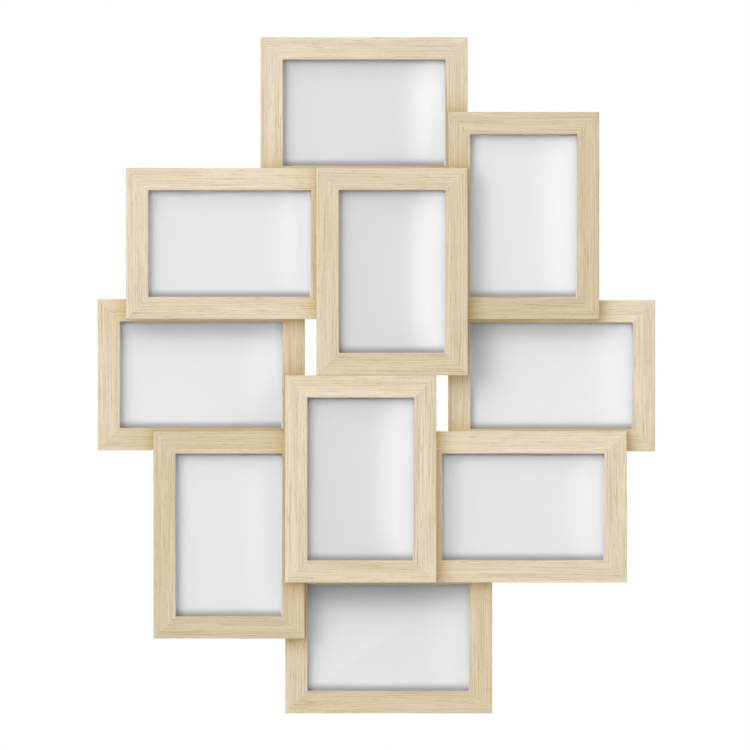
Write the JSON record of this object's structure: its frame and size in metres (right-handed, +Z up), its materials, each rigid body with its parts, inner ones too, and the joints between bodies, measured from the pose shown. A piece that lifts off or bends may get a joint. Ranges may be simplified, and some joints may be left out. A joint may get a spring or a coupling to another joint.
{
  "type": "collage photo frame",
  "caption": "Wall collage of small wooden picture frames, landscape and upright, lapped over each other in three layers, each with glass, a backing board and turn buttons.",
  "frame": {"origin": "centre of the whole piece's bounding box", "axes": "+Z up the wall, along its longest side; +Y from the front to the wall, along its shortest; +X to the right as seen from the front"},
  "size_m": [0.498, 0.039, 0.604],
  "materials": {
    "foil_wrapped_wood": "pale straight-grained wood foil, satin",
    "clear_glass": "clear, polished",
    "grey_paper": "plain light grey, matt",
    "hardboard": "brown hardboard, smooth and matt",
    "zinc_plated_steel": "bright zinc plate",
    "plain_steel": "plain drawn steel",
    "black_rubber": "matt black"
  },
  "bodies": {
    "collage": {"centre_upper_frame_rails": "foil_wrapped_wood", "centre_upper_glass": "clear_glass", "centre_upper_backing_board": "hardboard", "upper_right_frame_rails": "foil_wrapped_wood", "upper_right_glass": "clear_glass", "upper_right_backing_board": "hardboard", "upper_left_frame_rails": "foil_wrapped_wood", "upper_left_glass": "clear_glass", "upper_left_backing_board": "hardboard", "top_frame_rails": "foil_wrapped_wood", "top_glass": "clear_glass", "top_backing_board": "hardboard", "left_frame_rails": "foil_wrapped_wood", "left_glass": "clear_glass", "left_backing_board": "hardboard", "centre_lower_frame_rails": "foil_wrapped_wood", "centre_lower_glass": "clear_glass", "centre_lower_backing_board": "hardboard", "lower_left_frame_rails": "foil_wrapped_wood", "lower_left_glass": "clear_glass", "lower_left_backing_board": "hardboard", "lower_right_frame_rails": "foil_wrapped_wood", "lower_right_glass": "clear_glass", "lower_right_backing_board": "hardboard", "bottom_frame_rails": "foil_wrapped_wood", "bottom_glass": "clear_glass", "bottom_backing_board": "hardboard", "right_frame_rails": "foil_wrapped_wood", "right_glass": "clear_glass", "right_backing_board": "hardboard", "hanger_plate_left": "zinc_plated_steel", "hanger_plate_right": "zinc_plated_steel", "hanger_screws": "zinc_plated_steel", "insert_sheets": "grey_paper", "corner_nails": "plain_steel", "turn_button_screws": "zinc_plated_steel", "joining_screws": "zinc_plated_steel", "wall_bumpers": "black_rubber"},
    "centre_upper_turn_button_upper": {"centre_upper_turn_button_upper": "zinc_plated_steel"},
    "centre_upper_turn_button_lower": {"centre_upper_turn_button_lower": "zinc_plated_steel"},
    "upper_right_turn_button_left": {"upper_right_turn_button_left": "zinc_plated_steel"},
    "upper_right_turn_button_right": {"upper_right_turn_button_right": "zinc_plated_steel"},
    "upper_left_turn_button_left": {"upper_left_turn_button_left": "zinc_plated_steel"},
    "upper_left_turn_button_right": {"upper_left_turn_button_right": "zinc_plated_steel"},
    "top_turn_button_left": {"top_turn_button_left": "zinc_plated_steel"},
    "top_turn_button_right": {"top_turn_button_right": "zinc_plated_steel"},
    "left_turn_button_left": {"left_turn_button_left": "zinc_plated_steel"},
    "left_turn_button_right": {"left_turn_button_right": "zinc_plated_steel"},
    "centre_lower_turn_button_upper": {"centre_lower_turn_button_upper": "zinc_plated_steel"},
    "centre_lower_turn_button_lower": {"centre_lower_turn_button_lower": "zinc_plated_steel"},
    "lower_left_turn_button_left": {"lower_left_turn_button_left": "zinc_plated_steel"},
    "lower_left_turn_button_right": {"lower_left_turn_button_right": "zinc_plated_steel"},
    "lower_right_turn_button_left": {"lower_right_turn_button_left": "zinc_plated_steel"},
    "lower_right_turn_button_right": {"lower_right_turn_button_right": "zinc_plated_steel"},
    "bottom_turn_button_left": {"bottom_turn_button_left": "zinc_plated_steel"},
    "bottom_turn_button_right": {"bottom_turn_button_right": "zinc_plated_steel"},
    "right_turn_button_left": {"right_turn_button_left": "zinc_plated_steel"},
    "right_turn_button_right": {"right_turn_button_right": "zinc_plated_steel"}
  },
  "joints": [
    {"name": "centre_upper_turn_button_upper_pivot", "type": "hinge", "parent": "collage", "child": "centre_upper_turn_button_upper", "pos_m": [0.014, -0.0069, 0.1765], "axis": [0, 1, 0], "range_deg": [-90, 90]},
    {"name": "centre_upper_turn_button_lower_pivot", "type": "hinge", "parent": "collage", "child": "centre_upper_turn_button_lower", "pos_m": [0.014, -0.0069, 0.0085], "axis": [0, 1, 0], "range_deg": [-90, 90]},
    {"name": "upper_right_turn_button_left_pivot", "type": "hinge", "parent": "collage", "child": "upper_right_turn_button_left", "pos_m": [0.0725, 0.0051, 0.1425], "axis": [0, 1, 0], "range_deg": [-90, 90]},
    {"name": "upper_right_turn_button_right_pivot", "type": "hinge", "parent": "collage", "child": "upper_right_turn_button_right", "pos_m": [0.1905, 0.0051, 0.1425], "axis": [0, 1, 0], "range_deg": [-90, 90]},
    {"name": "upper_left_turn_button_left_pivot", "type": "hinge", "parent": "collage", "child": "upper_left_turn_button_left", "pos_m": [-0.215, 0.0051, 0.1175], "axis": [0, 1, 0], "range_deg": [-90, 90]},
    {"name": "upper_left_turn_button_right_pivot", "type": "hinge", "parent": "collage", "child": "upper_left_turn_button_right", "pos_m": [-0.047, 0.0051, 0.1175], "axis": [0, 1, 0], "range_deg": [-90, 90]},
    {"name": "top_turn_button_left_pivot", "type": "hinge", "parent": "collage", "child": "top_turn_button_left", "pos_m": [-0.095, 0.0171, 0.2345], "axis": [0, 1, 0], "range_deg": [-90, 90]},
    {"name": "top_turn_button_right_pivot", "type": "hinge", "parent": "collage", "child": "top_turn_button_right", "pos_m": [0.073, 0.0171, 0.2345], "axis": [0, 1, 0], "range_deg": [-90, 90]},
    {"name": "left_turn_button_left_pivot", "type": "hinge", "parent": "collage", "child": "left_turn_button_left", "pos_m": [-0.2405, 0.0171, 0.0005], "axis": [0, 1, 0], "range_deg": [-90, 90]},
    {"name": "left_turn_button_right_pivot", "type": "hinge", "parent": "collage", "child": "left_turn_button_right", "pos_m": [-0.0725, 0.0171, 0.0005], "axis": [0, 1, 0], "range_deg": [-90, 90]},
    {"name": "centre_lower_turn_button_upper_pivot", "type": "hinge", "parent": "collage", "child": "centre_lower_turn_button_upper", "pos_m": [-0.014, -0.0069, -0.0085], "axis": [0, 1, 0], "range_deg": [-90, 90]},
    {"name": "centre_lower_turn_button_lower_pivot", "type": "hinge", "parent": "collage", "child": "centre_lower_turn_button_lower", "pos_m": [-0.014, -0.0069, -0.1765], "axis": [0, 1, 0], "range_deg": [-90, 90]},
    {"name": "lower_left_turn_button_left_pivot", "type": "hinge", "parent": "collage", "child": "lower_left_turn_button_left", "pos_m": [-0.1905, 0.0051, -0.1425], "axis": [0, 1, 0], "range_deg": [-90, 90]},
    {"name": "lower_left_turn_button_right_pivot", "type": "hinge", "parent": "collage", "child": "lower_left_turn_button_right", "pos_m": [-0.0725, 0.0051, -0.1425], "axis": [0, 1, 0], "range_deg": [-90, 90]},
    {"name": "lower_right_turn_button_left_pivot", "type": "hinge", "parent": "collage", "child": "lower_right_turn_button_left", "pos_m": [0.047, 0.0051, -0.1175], "axis": [0, 1, 0], "range_deg": [-90, 90]},
    {"name": "lower_right_turn_button_right_pivot", "type": "hinge", "parent": "collage", "child": "lower_right_turn_button_right", "pos_m": [0.215, 0.0051, -0.1175], "axis": [0, 1, 0], "range_deg": [-90, 90]},
    {"name": "bottom_turn_button_left_pivot", "type": "hinge", "parent": "collage", "child": "bottom_turn_button_left", "pos_m": [-0.073, 0.0171, -0.2345], "axis": [0, 1, 0], "range_deg": [-90, 90]},
    {"name": "bottom_turn_button_right_pivot", "type": "hinge", "parent": "collage", "child": "bottom_turn_button_right", "pos_m": [0.095, 0.0171, -0.2345], "axis": [0, 1, 0], "range_deg": [-90, 90]},
    {"name": "right_turn_button_left_pivot", "type": "hinge", "parent": "collage", "child": "right_turn_button_left", "pos_m": [0.0725, 0.0171, -0.0005], "axis": [0, 1, 0], "range_deg": [-90, 90]},
    {"name": "right_turn_button_right_pivot", "type": "hinge", "parent": "collage", "child": "right_turn_button_right", "pos_m": [0.2405, 0.0171, -0.0005], "axis": [0, 1, 0], "range_deg": [-90, 90]}
  ]
}
